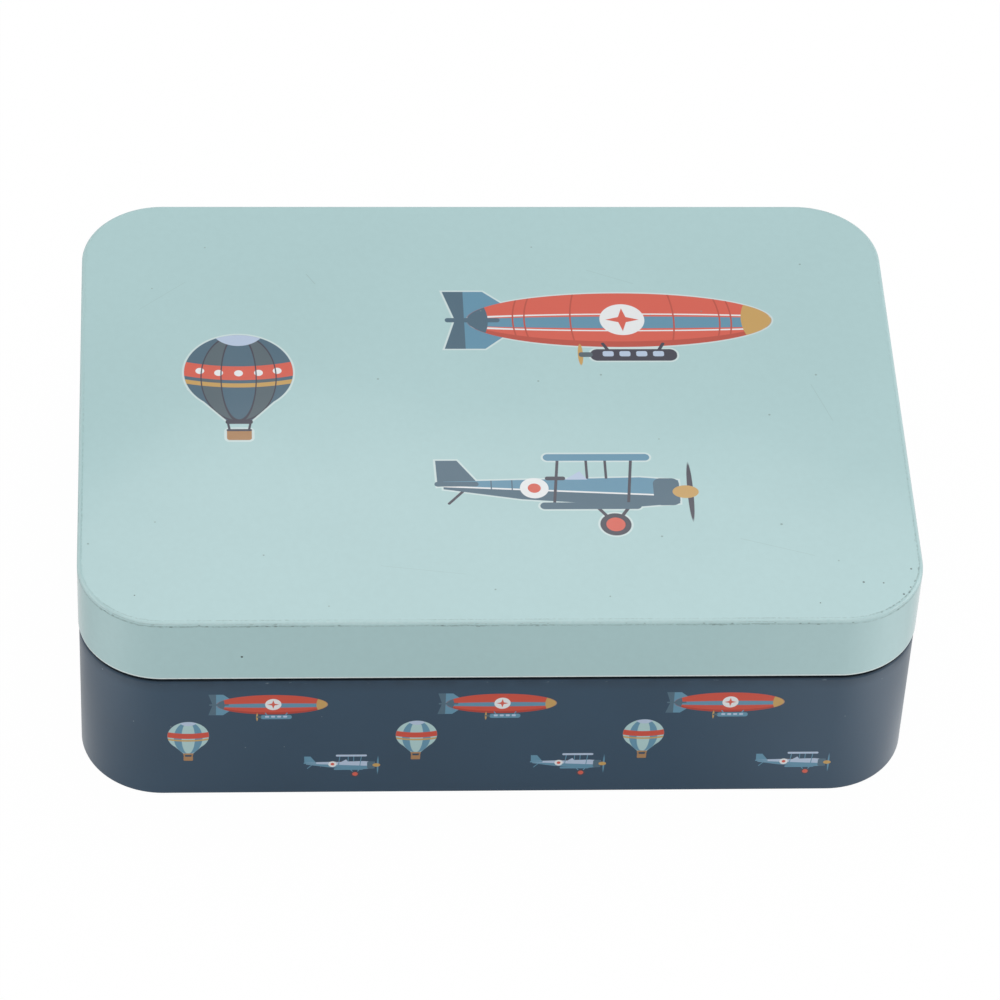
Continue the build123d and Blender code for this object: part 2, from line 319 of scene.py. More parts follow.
def corners_of(mesh):
    """Of each face corner: its point, its place on the unrolled sheet, and its face's mean place
    there and upward share."""

    def read(items, name, width, kind=float):
        values = np.empty(len(items) * width, kind)
        items.foreach_get(name, values)
        return values.reshape(-1, width)

    vertex = read(mesh.loops, "vertex_index", 1, np.int32)[:, 0]
    flat = read(mesh.uv_layers["sheet"].uv, "vector", 2)
    count = read(mesh.polygons, "loop_total", 1, np.int32)[:, 0]
    middle = np.add.reduceat(flat, np.r_[0, np.cumsum(count)[:-1]]) / count[:, None]
    facing = np.repeat(read(mesh.polygons, "normal", 3)[:, 2], count)
    return read(mesh.vertices, "co", 3)[vertex], flat, np.repeat(middle, count, 0), facing


def lay_flat(mesh, patches, gap=0.003):
    """Lays the piece out for baking. Each patch is (which corners, where each of them is on the
    piece, a rectangle), and those places are spread over the rectangle less a gap."""
    flat = np.zeros((len(mesh.loops), 2))
    for corners, places, (left, low, right, high) in patches:
        found = places[corners]
        least, span = found.min(0), np.ptp(found, axis=0)
        size = np.array([right - left, high - low]) - 2 * gap
        flat[corners] = (found - least) / span * size + (left + gap, low + gap)
    mesh.uv_layers.new(name="OFBake").uv.foreach_set("vector", flat.ravel().astype(np.float32))


def shade(r, g, b):
    """A colour written as a screen shows it, 0 to 255, for a colour socket."""
    light = [v / 255 for v in (r, g, b)]
    return (*[v / 12.92 if v <= 0.04045 else ((v + 0.055) / 1.055) ** 2.4 for v in light], 1.0)


def new_material(name, **constants):
    """A material with one Principled BSDF, whose unchanging sockets are set at once, and the
    piece's own coordinates in metres."""
    material = bpy.data.materials.new(name)
    material.use_nodes = True
    surface = material.node_tree.nodes["Principled BSDF"]
    for socket, value in constants.items():
        surface.inputs[socket.replace("_", " ")].default_value = value
    return material, surface, Wire.add(material.node_tree, "ShaderNodeTexCoord", {}, {}, "Object")


def feed(surface, colour=None, roughness=None, height=None):
    """Links what changes over the surface; the height is in metres."""
    if colour:
        colour.into(surface.inputs["Base Color"])
    if roughness:
        roughness.into(surface.inputs["Roughness"])
    if height:
        bump = height.node("ShaderNodeBump", {}, {"Height": height, "Distance": 1.0})
        bump.into(surface.inputs["Normal"])


def bare_tinplate():
    """Rolled steel with a thin bright coat of tin: fine rolling lines, faint clouds, a few rubs."""
    material, surface, point = new_material("bare_tinplate", Metallic=1.0)
    lines = (point * (30, 3600, 3600)).noise(1, 2)
    clouds = point.noise(60, 3)
    rubs = (point * (160, 2200, 2200)).noise(1, 3).within(0.64, 0.74)
    tone = lines.within(0.25, 0.75) * 0.4 + clouds.within(0.25, 0.75) * 0.6
    colour = tone.between(shade(203, 205, 207), shade(220, 222, 223))
    height = lines * 1.0e-6 + clouds * 3e-5
    feed(surface, colour, lines * 0.08 + clouds * 0.12 + rubs * 0.1 + 0.2, height)
    return material


TINPLATE = bare_tinplate()

rise = acos(1 - BOTTOM_STEP / (2 * BOTTOM_STEP_BEND))  # steepness of the step between its bends
step_run = 2 * BOTTOM_STEP_BEND * sin(rise)
bottom_line = fold((BOTTOM_EDGE - BOTTOM_PANEL_RUN, BOTTOM_LOW + BOTTOM_STEP), 0, [
    (BOTTOM_PANEL_RUN - BOTTOM_BORDER - step_run, BOTTOM_STEP_BEND, -degrees(rise)),
    (0, BOTTOM_STEP_BEND, degrees(rise)),
    (BOTTOM_BORDER - BOTTOM_BEND, BOTTOM_BEND, -90),
    (BOTTOM_LOW - BOTTOM_BEND - BOTTOM_EDGE_LOW, 0, 0),
])
base_outline = outline(BASE_LENGTH, BASE_DEPTH, BASE_RADIUS)
bottom_section = face_of(bottom_line, 1) + face_of(bottom_line, -1)[::-1]
middle_line = (BASE_LENGTH - BASE_DEPTH) / 2
base_bottom = swept(
    "base_bottom_plate", base_outline, bottom_section, half_middle_line=middle_line
)
point, flat, _, facing = corners_of(base_bottom.data)
lay_flat(base_bottom.data, [
    (facing > 0.5, point[:, :2], (0, 0, 1, 0.48)),
    (facing < -0.5, point[:, :2], (0, 0.48, 1, 0.96)),
    (abs(facing) <= 0.5, flat, (0, 0.96, 1, 1)),
])
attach(base_bottom, "base")
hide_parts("base_bottom")

# ------------------------------
# Base wall. One strip of tinplate, printed slate with rows of small flying machines and then
# varnished. It is folded along its length into a foot hem, a wall, a shoulder, a neck and a
# curled rim, bent round four corners, and hooked together at the middle of the back.

lid_low, lid_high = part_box("lid")
RIM_Z = wall_high.z
JOINT_GAP = 0.7 * MM  # between the shoulder and the closed lid
SHOULDER_Z = lid_low.z - JOINT_GAP
SHOULDER_BEND = 0.3 * MM  # bends are measured to the middle of the sheet
NECK_INSET = 1.4456 * MM  # from the wall to the neck
CURL_BEND, CURL_TURN = 0.525 * MM, 285
FOOT_BEND, FOOT_HEM = 0.25 * MM, 1.6 * MM
FOOT_FOLD = 0.6 * MM  # from the wall in to the leaf turned up inside it
SHOULDER_RUN = 28.2 * MM  # of the strip's outer face, from the foot to the middle of the shoulder
GROOVE_DEPTH, GROOVE_REACH = 0.16 * MM, 0.3 * MM  # where the strip's ends are hooked together

PRINT_PITCH = 38  # mm, of the pattern: three in a long side, and two in an end
PRINT_EDGE = 0.07  # mm, softness of an ink's edge
# the slate ground, and the near black of the painted shade under the closed lid's hem
SLATE_GROUND, PAINTED_SHADE_SLATE = (0.0145, 0.051, 0.095), (0.004, 0.014, 0.026, 1.0)
# near black of the painted shadow in the gap between the shoulder and the closed lid
PAINTED_GAP_SHADE = (0.003, 0.005, 0.007, 1.0)
PAINTED_SHADE_RISE, SHOULDER_CREASE = (25.0, 27.0), 27.2  # mm up the strip
GAP_SHADE_START, GAP_SHADE_END = (27.4, 27.75), (29.5, 29.2)
WORN_SLATE, SLATE_DUST = shade(122, 138, 148), shade(150, 166, 172)

CORAL, DEEP_CORAL, CHARCOAL = shade(216, 94, 76), shade(188, 78, 62), shade(60, 60, 74)
RED, DEEP_RED = shade(206, 74, 54), shade(176, 56, 40)
STEEL_BLUE, SLATE, GREY_SLATE = shade(96, 146, 172), shade(74, 104, 122), shade(84, 100, 108)
MUSTARD, PALE_BLUE, OFF_WHITE = shade(200, 160, 92), shade(184, 201, 224), shade(234, 237, 238)
WICKER, PALE_MINT = shade(172, 128, 84), shade(176, 208, 208)
PALE_OUTLINE, OUTLINE = shade(206, 224, 224), 0.35  # round a drawing, and its width in its units


class Print:
    """Inks laid one over another. A shape is a distance in the drawing's own units, negative
    inside, and place is where a point is in the drawing."""

    def __init__(self, ground):
        self.colour = ground

    def at(self, place, edge):
        self.place, self.edge = place, edge
        self.x, self.y, _ = place.apart()

    def ink(self, colour, *shapes, strength=None):
        """An ink on what is inside all the shapes."""
        cover = reduce(inside_both, shapes).within(self.edge / 2, -self.edge / 2)
        self.colour = self.colour.mix(colour, cover * strength if strength else cover)

    def disc(self, x, y, radius):
        return self.place.vector("DISTANCE", (x, y, 0), output=1) - radius

    def oval(self, x, y, half_x, half_y):
        scale, offset = (1 / half_x, 1 / half_y, 0), (-x / half_x, -y / half_y, 0)
        near = self.place.vector("MULTIPLY_ADD", scale, offset)
        least = min(half_x, half_y)
        return near.vector("LENGTH", output=1) * least - least

    def plate(self, x, y, width, height, radius):
        half = (width / 2 - radius, height / 2 - radius, 0)
        near = abs(self.place - (x, y, 0)) - half
        return near.vector("MAXIMUM", (0, 0, 0)).vector("LENGTH", output=1) - radius

    def bar(self, x, y, to_x, to_y, width):
        run, square = (to_x - x, to_y - y, 0), (to_x - x) ** 2 + (to_y - y) ** 2
        near = self.place - (x, y, 0)
        share = near.vector("DOT_PRODUCT", (run[0] / square, run[1] / square, 0), output=1)
        inputs = {0: run, "Scale": share.within(0, 1)}
        foot = near.node("ShaderNodeVectorMath", {"operation": "SCALE"}, inputs)
        return near.vector("DISTANCE", foot, output=1) - width / 2

    def wedge(self, *corners):
        """A shape with straight sides and no hollow, whose corners run anticlockwise."""
        sides = []
        for (ax, ay), (bx, by) in zip(corners, corners[1:] + corners[:1]):
            run = hypot(bx - ax, by - ay)
            out = ((by - ay) / run, (ax - bx) / run, 0)
            side = self.place.vector("DOT_PRODUCT", out, output=1)
            sides.append(side - (out[0] * ax + out[1] * ay))
        return reduce(inside_both, sides)


def inside_both(a, b):
    return a.math("MAXIMUM", b)


def inside_either(a, b):
    return a.math("MINIMUM", b)


def outside(shape):
    return shape * -1


def line_round(shape, width):
    return abs(shape) - width / 2


def draw_airship(art, fine):
    """A side view, 58 long and 18 high. fine adds what is too thin for a small print."""
    ink = art.ink
    hull = art.oval(2, 2.2, 26.5, 6.8)
    upper = art.wedge((-17, 5.2), (-21.5, 9.4), (-28.5, 9.4), (-26.5, 2.2), (-19, 2.2))
    lower = art.wedge((-19, 2.2), (-26.5, 2.2), (-28.5, -5.0), (-21.5, -5.0), (-17, -0.8))
    fins = inside_either(upper, lower)
    car = art.plate(4, -6.6, 15, 2.9, 1.3)
    rigging = CHARCOAL if fine else STEEL_BLUE
    if fine:
        larger = art.oval(2, 2.2, 26.5 + OUTLINE, 6.8 + OUTLINE)
        ink(PALE_OUTLINE, inside_either(larger, inside_either(fins, car) - OUTLINE))
    ink(STEEL_BLUE, fins)
    ink(SLATE, fins, art.x + 24.9)
    ink(CORAL if fine else RED, hull)
    ink(DEEP_CORAL if fine else DEEP_RED, hull, outside(art.oval(2, 4.2, 29, 7.4)))
    ink(STEEL_BLUE, hull, art.oval(4, 1.6, 34, 1.5))
    if fine:
        ink(OFF_WHITE, hull, line_round(art.oval(4, 1.6, 34, 2.1), 0.3))
        for x, radius in ((-16.5, 18), (-6.5, 30), (11.5, -30), (21.5, -18)):
            ink(DEEP_CORAL, hull, line_round(art.disc(x + radius, 2.2, abs(radius)), 0.28))
    ink(MUSTARD, hull, art.disc(34, 2.2, 10.8))
    ink(SLATE, hull, art.disc(-31, 2.2, 10.2))
    ink(SLATE, art.plate(-23.5, 2.2, 9.5, 1.1, 0.5))
    ink(OFF_WHITE, art.disc(2.5, 2.3, 3.9))
    near = abs(art.place - (2.5, 2.3, 0))
    for half_x, half_y in ((2.9, 0.85), (0.85, 2.9)):
        size = hypot(half_x, half_y)
        reach = near.vector("DOT_PRODUCT", (half_y / size, half_x / size, 0), output=1)
        ink(CORAL, reach - half_x * half_y / size)
    ink(rigging, car)
    for x, to_x in ((-1.2, -0.2), (9.2, 8.2)):
        ink(rigging, art.bar(x, -3.8, to_x, -5.8, 0.6))
    for x in (-0.4, 2.5, 5.4, 8.3):
        ink(PALE_BLUE, art.plate(x, -6.3, 1.9, 1.3, 0.4))
    ink(MUSTARD, art.oval(-5.2, -6.5, 0.45, 2.6))
    ink(GREY_SLATE, art.plate(-4.3, -6.5, 2.4, 1.2, 0.5))


def draw_balloon(art, fine, body, gores):
    """A hot-air balloon from the side, 19 wide and 26 high."""
    ink = art.ink
    mouth = art.wedge((-2.1, -8.6), (2.1, -8.6), (8.2, -1.2), (-8.2, -1.2))
    envelope = inside_either(art.disc(0, 3.2, 9.3), mouth)
    wide_gore, gore = (art.oval(0, 1.95, half_x, 10.6) for half_x in (6.4, 3.0))
    if fine:
        basket = art.plate(0, -12.0, 4.4, 2.8, 0.6)
        ink(PALE_OUTLINE, inside_either(envelope, basket) - OUTLINE)
    ink(body, envelope)
    ink(gores, envelope, wide_gore, outside(gore))
    ink(CORAL if fine else RED, envelope, line_round(art.disc(0, 41, 38.0), 3.4))
    ink(MUSTARD, envelope, line_round(art.disc(0, 41, 41.0), 1.0))
    if fine:
        for x, y in ((-6.6, 3.6), (-3.4, 3.1), (0, 3.0), (3.4, 3.1), (6.6, 3.6)):
            ink(OFF_WHITE, art.disc(x, y, 0.75))
        for seam in (gore, wide_gore):
            ink(CHARCOAL, envelope, line_round(seam, 0.22))
    ink(PALE_BLUE, envelope, art.disc(0, 14.6, 4.8))
    rigging = CHARCOAL if fine else WICKER
    ink(rigging, art.plate(0, -8.9, 4.6, 1.0, 0.4))
    for x in (-1.9, 1.9):
        ink(rigging, art.bar(x, -9.2, x * 0.85, -11.0, 0.4 if fine else 0.6))
    ink(WICKER, art.plate(0, -12.0, 4.2, 2.6, 0.5))
    ink(rigging, art.bar(-1.9, -10.9, 1.9, -10.9, 0.5))


def draw_biplane(art, fine, light, dark, rigging):
    """A side view with the nose to the right, 44 long and 19 high."""
    ink = art.ink
    nose = ((12, -3.4), (18.5, -2.7), (18.5, 2.8), (12, 3.5))
    body = art.wedge((-21, 0.8), (-8, -1.6), *nose, (-21, 2.6))
    fin = art.wedge((-15.2, 2.2), (-18.6, 7.6), (-22.2, 7.6), (-22.0, 1.4))
    upper, lower = art.plate(5, 8.3, 18, 1.6, 0.8), art.plate(3.5, -3.2, 17, 1.6, 0.8)
    wheel = art.disc(7.4, -7.6, 2.6)
    if fine:
        wings_and_wheel = inside_either(inside_either(upper, lower), wheel)
        ink(PALE_OUTLINE, inside_either(inside_either(body, fin), wings_and_wheel) - OUTLINE)
    for x, to_x in ((4.2, 7.4), (10.2, 7.4)):
        ink(rigging, art.bar(x, -3.0, to_x, -7.6, 0.6))
    ink(rigging, art.bar(-17.5, 0.6, -20.2, -2.6, 0.5))
    ink(dark, fin)
    ink(light, body)
    ink(dark, body, art.wedge((-22, -5), (20, -5), (20, -0.9), (-22, 1.5)))
    if fine:
        ink(OFF_WHITE, body, art.bar(-21.5, 1.5, 18.5, -0.9, 0.35))
        for x in (-13, -9.5):
            ink(SLATE, body, art.bar(x, -4, x, 4, 0.22))
    ink(SLATE, art.plate(16.4, 0.05, 4.4, 6.4, 1.3))
    ink(PALE_BLUE, art.wedge((-0.6, 3.0), (3.2, 3.0), (2.0, 5.0)))
    ink(CHARCOAL, art.plate(-2.2, 3.3, 3.4, 0.9, 0.4))
    for x, to_x in ((-1.6, -2.6), (10.8, 9.8)):
        ink(rigging, art.bar(x, 7.8, to_x, -3.0, 0.5))
    for x in (3.2, 6.4):
        ink(rigging, art.bar(x, 7.8, x, 3.4, 0.45))
    ink(light, upper)
    ink(dark, lower)
    ink(dark, art.plate(-18.8, 2.0, 7.4, 1.1, 0.5))
    ink(OFF_WHITE, art.disc(-5.8, 1.0, 2.4))
    ink(CORAL, art.disc(-5.8, 1.0, 1.1))
    ink(CHARCOAL, wheel)
    ink(CORAL, art.disc(7.4, -7.6, 1.6))
    ink(rigging, art.oval(20.4, 0.05, 0.5, 6.8))
    ink(MUSTARD, art.oval(19.6, 0.05, 2.2, 1.5))


def inked(colour, strength):
    """A ground colour at some strength, for a colour socket."""
    return (*[v * strength for v in colour], 1.0)


def varnish(point, peel):
    """The uneven gloss of a rolled-on varnish, and its height in metres: orange peel,
    given in microns, on a sheet that is nowhere quite flat."""
    clouds, grain = point.noise(24, 2), point.noise(1100, 1)
    return clouds * 0.08 + grain * 0.03, grain * (peel * 1e-6) + clouds * 1.4e-4


def printed_slate(wall_datum, perimeter):
    """Satin varnish over slate ink. The rows are drawn on the flat strip, as they were printed."""
    material, surface, point = new_material("printed_slate", Specular_IOR_Level=0.46)
    flat = point.node("ShaderNodeUVMap", {"uv_map": "sheet"}, {})
    along, across, _ = flat.apart()
    height = (wall_datum - across) * 1000
    clouds = point.noise(45, 3).within(0.3, 0.7)
    art = Print(clouds.between(inked(SLATE_GROUND, 1.0), inked(SLATE_GROUND, 1.12)))
    # the pattern is set out from the middle of each side, and leaves the corners plain
    around, side = (along - perimeter / 2) * 1000, perimeter / 4 * 1000
    from_front = (around + side) % (2 * side) - side
    from_end = around % (2 * side) - side
    is_front = abs(from_front) < 1.5 * PRINT_PITCH
    is_end = abs(from_end) < PRINT_PITCH
    x = (from_front + PRINT_PITCH / 2) * is_front + from_end * is_end
    x = x % PRINT_PITCH - PRINT_PITCH / 2 - (is_front + is_end - 1) * 1000
    places = (  # x in the pitch, height, and mm for each unit of the drawing
        (-0.6, 21.2, 0.345, lambda: draw_airship(art, False)),
        (-13.8, 13.2, 0.37, lambda: draw_balloon(art, False, PALE_MINT, STEEL_BLUE)),
        (12.0, 6.9, 0.29, lambda: draw_biplane(art, False, PALE_BLUE, STEEL_BLUE, STEEL_BLUE)),
    )
    for middle_x, middle_y, size, draw in places:
        place = x.together((x - middle_x) * (1 / size), (height - middle_y) * (1 / size))
        art.at(place, PRINT_EDGE / size)
        draw()
    # painted shade under the lid's hem: the wall gets darker, in patches, up towards the lid
    painted_shade = height.within(*PAINTED_SHADE_RISE) * point.noise(300, 3).within(0.0, 0.6) * 0.45
    colour = art.colour.mix(PAINTED_SHADE_SLATE, painted_shade)
    streaks = (flat * (500, 1300, 0)).noise(1, 3)
    at_shoulder = abs(height - SHOULDER_CREASE).within(0.22, 0.05) * streaks.within(0.62, 0.7)
    at_foot = height.within(0.28, 0.04) * streaks.within(0.42, 0.6)
    colour = colour.mix(WORN_SLATE, at_shoulder.math("MAXIMUM", at_foot) * 0.8)
    # painted shadow in the gap under the closed lid, near black over the shoulder's top and the neck
    painted_gap_shade = height.within(*GAP_SHADE_START) * height.within(*GAP_SHADE_END)
    colour = colour.mix(PAINTED_GAP_SHADE, painted_gap_shade * 0.8)
    specks, chance = flat.spots(160, 0.012, 0.014, 0.004)
    specks = specks * (chance > 0.955)
    colour = colour.mix(SLATE_DUST, specks * 0.6)
    gloss, bump = varnish(point, 0.3)
    rough = gloss + specks * 0.2 + (painted_shade + painted_gap_shade) * 0.3
    feed(surface, colour, rough + 0.24, bump - specks * 6e-6)
    return material


def run_of(points):
    """Distance along the line from the first point to each."""
    return np.cumsum([0, *[hypot(b[0] - a[0], b[1] - a[1]) for a, b in zip(points, points[1:])]])


def quarters_of(middle, perimeter):
    """Which quarter of the way round each place on the unrolled sheet is in."""
    return np.clip(middle[:, 0] / perimeter * 4, 0, 3.999).astype(int)


# the line runs from the inside of the foot's hem to the end of the rim's curl
wall_line = fold((-SHEET / 2 - FOOT_FOLD, FOOT_HEM), -90, [
    (FOOT_HEM - SHEET / 2 - FOOT_BEND, FOOT_BEND, 90),
    (FOOT_FOLD - 2 * FOOT_BEND, FOOT_BEND, 90),
    (SHOULDER_Z - SHEET - FOOT_BEND - SHOULDER_BEND, SHOULDER_BEND, 90),
    (NECK_INSET - 2 * SHOULDER_BEND, SHOULDER_BEND, -90),
    (RIM_Z - SHEET / 2 - CURL_BEND - (SHOULDER_Z - SHEET / 2 + SHOULDER_BEND), CURL_BEND, CURL_TURN),
])
printed_face, bare_face = face_of(wall_line, -1)[::-1], face_of(wall_line, 1)
wall_section = [*printed_face, *bare_face, printed_face[0]]
wall_across = run_of(wall_section)
printed_width = wall_across[len(printed_face) - 1]
# the strip's outer face is z = wall_datum - across
on_wall = next(k for k, (x, _) in enumerate(printed_face) if abs(x) < 1e-7)
wall_datum = wall_across[on_wall] + printed_face[on_wall][1]

grooved = [(x, y) for x, y in base_outline if abs(x) > GROOVE_REACH or y < 0]
back = BASE_DEPTH / 2
groove = [(GROOVE_REACH, back), (GROOVE_REACH / 5, back - GROOVE_DEPTH), (0, back - GROOVE_DEPTH)]
grooved = [*[(-x, y) for x, y in groove[::-1]], *grooved, *groove]
along = run_of(grooved)
perimeter = along[-1]

slate = printed_slate(wall_datum, perimeter)
base_wall = swept("base_wall_strip", grooved, wall_section, slate, printed_width)
_, flat, middle, _ = corners_of(base_wall.data)
across, quarters = middle[:, 1], quarters_of(middle, perimeter)
on_shoulder = wall_datum - SHOULDER_RUN
bands = (
    (on_shoulder, wall_datum, 0.0, 0.72),  # the wall's outside
    (-1, on_shoulder, 0.72, 0.86),  # the neck and the rim
    (wall_datum, printed_width, 0.86, 0.89),  # the foot
    (printed_width, 1, 0.89, 1.0),  # the bare inside
)
patches = []
for low, high, bottom, top in bands:
    step = (top - bottom) / 4
    for row in range(4):
        corners = (across > low) & (across < high) & (quarters == row)
        patches.append((corners, flat, (0, bottom + row * step, 1, bottom + (row + 1) * step)))
lay_flat(base_wall.data, patches, 0.002)
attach(base_wall, "base")
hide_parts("base_wall")

# ------------------------------
# Side seam. Where the wall strip's ends are hooked together, their four leaves are pressed
# into one flat band of tinplate, which stands inside the middle of the back wall.

SEAM_WIDTH, SEAM_THICKNESS, SEAM_ROUND = 4.0 * MM, 0.5 * MM, 0.2 * MM
SEAM_LOW, SEAM_HIGH = 3.05 * MM, SHOULDER_Z - 0.9 * MM
SEAM_FOLD, SEAM_STEP = 0.9 * MM, 0.08 * MM  # width of the lower leaf, and the step down to it
SEAM_EASE = 0.1 * MM  # by which the band's two ends are eased


def joined(name, rings, sharp=SHARP):
    """A closed mesh through rings of points, or single points, with sharp edges past an angle."""
    shell = bmesh.new()
    rings = [[shell.verts.new(point) for point in ring] for ring in rings]
    for ring, after in zip(rings, rings[1:]):
        for k in range(max(len(ring), len(after))):
            corners = [ring[k % len(ring)], ring[(k + 1) % len(ring)]]
            corners += [after[(k + 1) % len(after)], after[k % len(after)]]
            shell.faces.new(list(dict.fromkeys(corners)))
    for ring in (rings[0], rings[-1]):
        if len(ring) > 1:
            shell.faces.new(ring)
    bmesh.ops.recalc_face_normals(shell, faces=shell.faces)
    for face in shell.faces:
        face.smooth = True
    for edge in shell.edges:
        edge.smooth = edge.calc_face_angle(0) < radians(sharp)
    mesh = bpy.data.meshes.new(name)
    shell.to_mesh(mesh)
    shell.free()
    return mesh


def seam_band():
    """A band along Z, whose section runs from the wall over its folded face and back."""
    top, root = back - SHEET - SEAM_THICKNESS, back - 1.5 * SHEET
    half, step = SEAM_WIDTH / 2, SEAM_WIDTH / 2 - SEAM_FOLD
    turns = np.linspace(0, pi / 2, 5)
    bend = [(SEAM_ROUND * (1 - cos(t)), SEAM_ROUND * (1 - sin(t))) for t in turns]
    section = [(-half, root), *[(x - half, top + SEAM_STEP + y) for x, y in bend]]
    section += [(-step, top + SEAM_STEP), (-step + SEAM_STEP, top)]
    section += [*[(half - x, top + y) for x, y in bend[::-1]], (half, root)]
    heights = [SEAM_LOW, SEAM_LOW + SEAM_EASE, *np.linspace(SEAM_LOW, SEAM_HIGH, 8)[1:-1]]
    heights += [SEAM_HIGH - SEAM_EASE, SEAM_HIGH]
    rings = []
    for z in heights:
        ease = SEAM_EASE if z in (SEAM_LOW, SEAM_HIGH) else 0.0
        rings.append([(x * (1 - ease / half), min(y + ease, root), z) for x, y in section])
    return joined("side_seam", rings)


side_seam = placed("side_seam", seam_band())
side_seam.data.materials.append(TINPLATE)
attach(side_seam, "base")

# ------------------------------
# Lid. One shell drawn from tinplate, printed pale mint with three flying machines on its flat
# top and then varnished. Its skirt covers the base's neck, and its raw edge is hemmed inwards.

LID_RADIUS = 14 * MM  # of the corners, seen from above
LID_EDGE_BEND, LID_HEM_BEND = 0.575 * MM, 0.15 * MM
LID_PANEL_RUN, LID_HEM = 6 * MM, 2.2 * MM
ABOVE_HEM, INSIDE_PANEL = 1.2 * MM, 0.6 * MM  # where the skirt and the panel end, laid flat
HEM_START, HEM_END = (18.5 * MM, 18.6 * MM), (19.3 * MM, 19.15 * MM)  # across the printed face
UPPER_CREASE = LID_PANEL_RUN - LID_EDGE_BEND - SHEET / 2  # across the printed face
LOWER_CREASE = UPPER_CREASE + (LID_EDGE_BEND + SHEET / 2) * pi / 2

MINT_GROUND = (0.434, 0.633, 0.642)
# the hem's lighter colour is partly rubbed paint and partly a painted highlight
RUBBED_MINT, HEM_HIGHLIGHT_AND_WEAR = shade(206, 226, 226), shade(226, 238, 238)
DARK_WEAR, DARK_PIT = shade(104, 124, 120), shade(70, 82, 80)
AIRSHIP_PLACE, BALLOON_PLACE, BIPLANE_PLACE = (21, 19), (-43, 5), (12, -21)  # mm
PITS = (  # x, y and width in mm, through the ink near the right front corner
    (59.6, -42.2, 0.4), (62.9, -42.4, 0.3), (67.8, -39.2, 0.35), (67.3, -43.4, 0.3),
    (66.0, -45.0, 0.4), (52.0, -46.9, 0.25), (-60.5, -44.5, 0.25),
)
SKIRT_PIT = (-43.0, 33.7)  # x and height in mm, on the front of the skirt
HAIRLINES = (  # from x, y to x, y in mm on the lid's top, and how strong
    (-31, 33, -29.5, 30.5, 0.5), (18, 34, 26, 30.5, 0.3), (-60, 24, -52, 31, 0.25),
    (40, -32, 52, -36, 0.3), (-20, -38, -6, -40, 0.25), (55, 5, 58, -4, 0.3),
)


def printed_mint():
    """Satin varnish over mint ink, rubbed and chipped along the creases, and lighter at the hem, partly
    rubbed and partly a painted highlight.
    """
    material, surface, point = new_material("printed_mint", Specular_IOR_Level=0.4)
    clouds, mottle = point.noise(22, 3), point.noise(850, 2)
    share = clouds.within(0.3, 0.7) * 0.6 + mottle.within(0.3, 0.7) * 0.4
    art = Print(share.between(inked(MINT_GROUND, 0.985), inked(MINT_GROUND, 1.035)))
    top = point * (1000, 1000, 0)
    drawings = (
        (AIRSHIP_PLACE, lambda: draw_airship(art, True)),
        (BALLOON_PLACE, lambda: draw_balloon(art, True, SLATE, GREY_SLATE)),
        (BIPLANE_PLACE, lambda: draw_biplane(art, True, STEEL_BLUE, SLATE, CHARCOAL)),
    )
    for (x, y), draw in drawings:
        art.at(top - (x, y, 0), PRINT_EDGE)
        draw()
    art.at(top, PRINT_EDGE)
    for x, y, to_x, to_y, strength in HAIRLINES:
        art.ink(DARK_WEAR, art.bar(x, y, to_x, to_y, 0.1), strength=strength * 0.6)
    for x, y, width in PITS:
        art.ink(DARK_PIT, art.disc(x, y, width / 2), strength=0.75)
    x, y, z = point.apart()
    art.at(x.together(x * 1000, z * 1000), PRINT_EDGE)
    art.ink(DARK_PIT, art.disc(*SKIRT_PIT, 0.2), strength=y < 0)

    flat = point.node("ShaderNodeUVMap", {"uv_map": "sheet"}, {})
    _, across, _ = flat.apart()
    wander = (flat * (160, 0, 0)).noise(1, 3) - 0.5
    from_low = across + wander * (0.55 * MM) - LOWER_CREASE
    grain = (flat * (1500, 3000, 0)).noise(1, 3)
    patches = (flat * (75, 220, 0)).noise(1, 2).within(0.36, 0.6)
    front = y.within(0.02, -0.045) * 0.75 + 0.25
    corner = x.within(0.050, 0.062) * y.within(-0.030, -0.040)
    low = abs(from_low).within(0.24 * MM, 0.08 * MM)
    second = abs(from_low + 0.42 * MM).within(0.13 * MM, 0.03 * MM) * patches * 0.6
    high = abs(across - UPPER_CREASE).within(0.17 * MM, 0.05 * MM)
    between = abs(across - (UPPER_CREASE + LOWER_CREASE) / 2).within(0.5 * MM, 0.2 * MM)
    worn = grain.within(0.34, 0.56) * (patches * 0.6 + 0.4) * front
    colour = art.colour.mix(RUBBED_MINT, between * (grain.within(0.3, 0.6) * 0.3 + 0.1) * front)
    faint = (patches * 0.3 + 0.06 + corner * 0.35) * grain.within(0.36, 0.6) * front
    lines = low.math("MAXIMUM", second) * worn * 0.5
    colour = colour.mix(DARK_WEAR, lines.math("MAXIMUM", high * faint))
    chips, chance = (flat * (700, 1500, 0)).spots(1, 0.16, 0.14, 0.05)
    chance = chance + patches * 0.35 + corner * 0.1
    chips = chips * (chance > 1.16 - front * 0.3)
    at_low = abs(from_low + 0.05 * MM).within(0.4 * MM, 0.2 * MM)
    at_high = abs(across - UPPER_CREASE).within(0.4 * MM, 0.2 * MM)
    chips = chips * at_low.math("MAXIMUM", at_high * (corner * 0.8 + 0.12))
    colour = colour.mix(DARK_PIT, chips * 0.5)
    # the hem's bend made lighter: partly rubbed paint, partly a painted highlight
    hem = across.within(*HEM_START) * across.within(*HEM_END)
    colour = colour.mix(HEM_HIGHLIGHT_AND_WEAR, hem * (grain.within(0.3, 0.5) * 0.5 + 0.4))
    pits, chance = point.spots(105, 0.01, 0.018, 0.006)
    pits = pits * (chance > 0.82) * (across < UPPER_CREASE)
    colour = colour.mix(DARK_WEAR, pits * 0.6)
    gloss, bump = varnish(point, 0.6)
    marks = pits.math("MAXIMUM", chips)
    rough = gloss + marks * 0.25 + low * worn * 0.2
    feed(surface, colour, rough + 0.05, bump - marks * 8e-6)
    return material


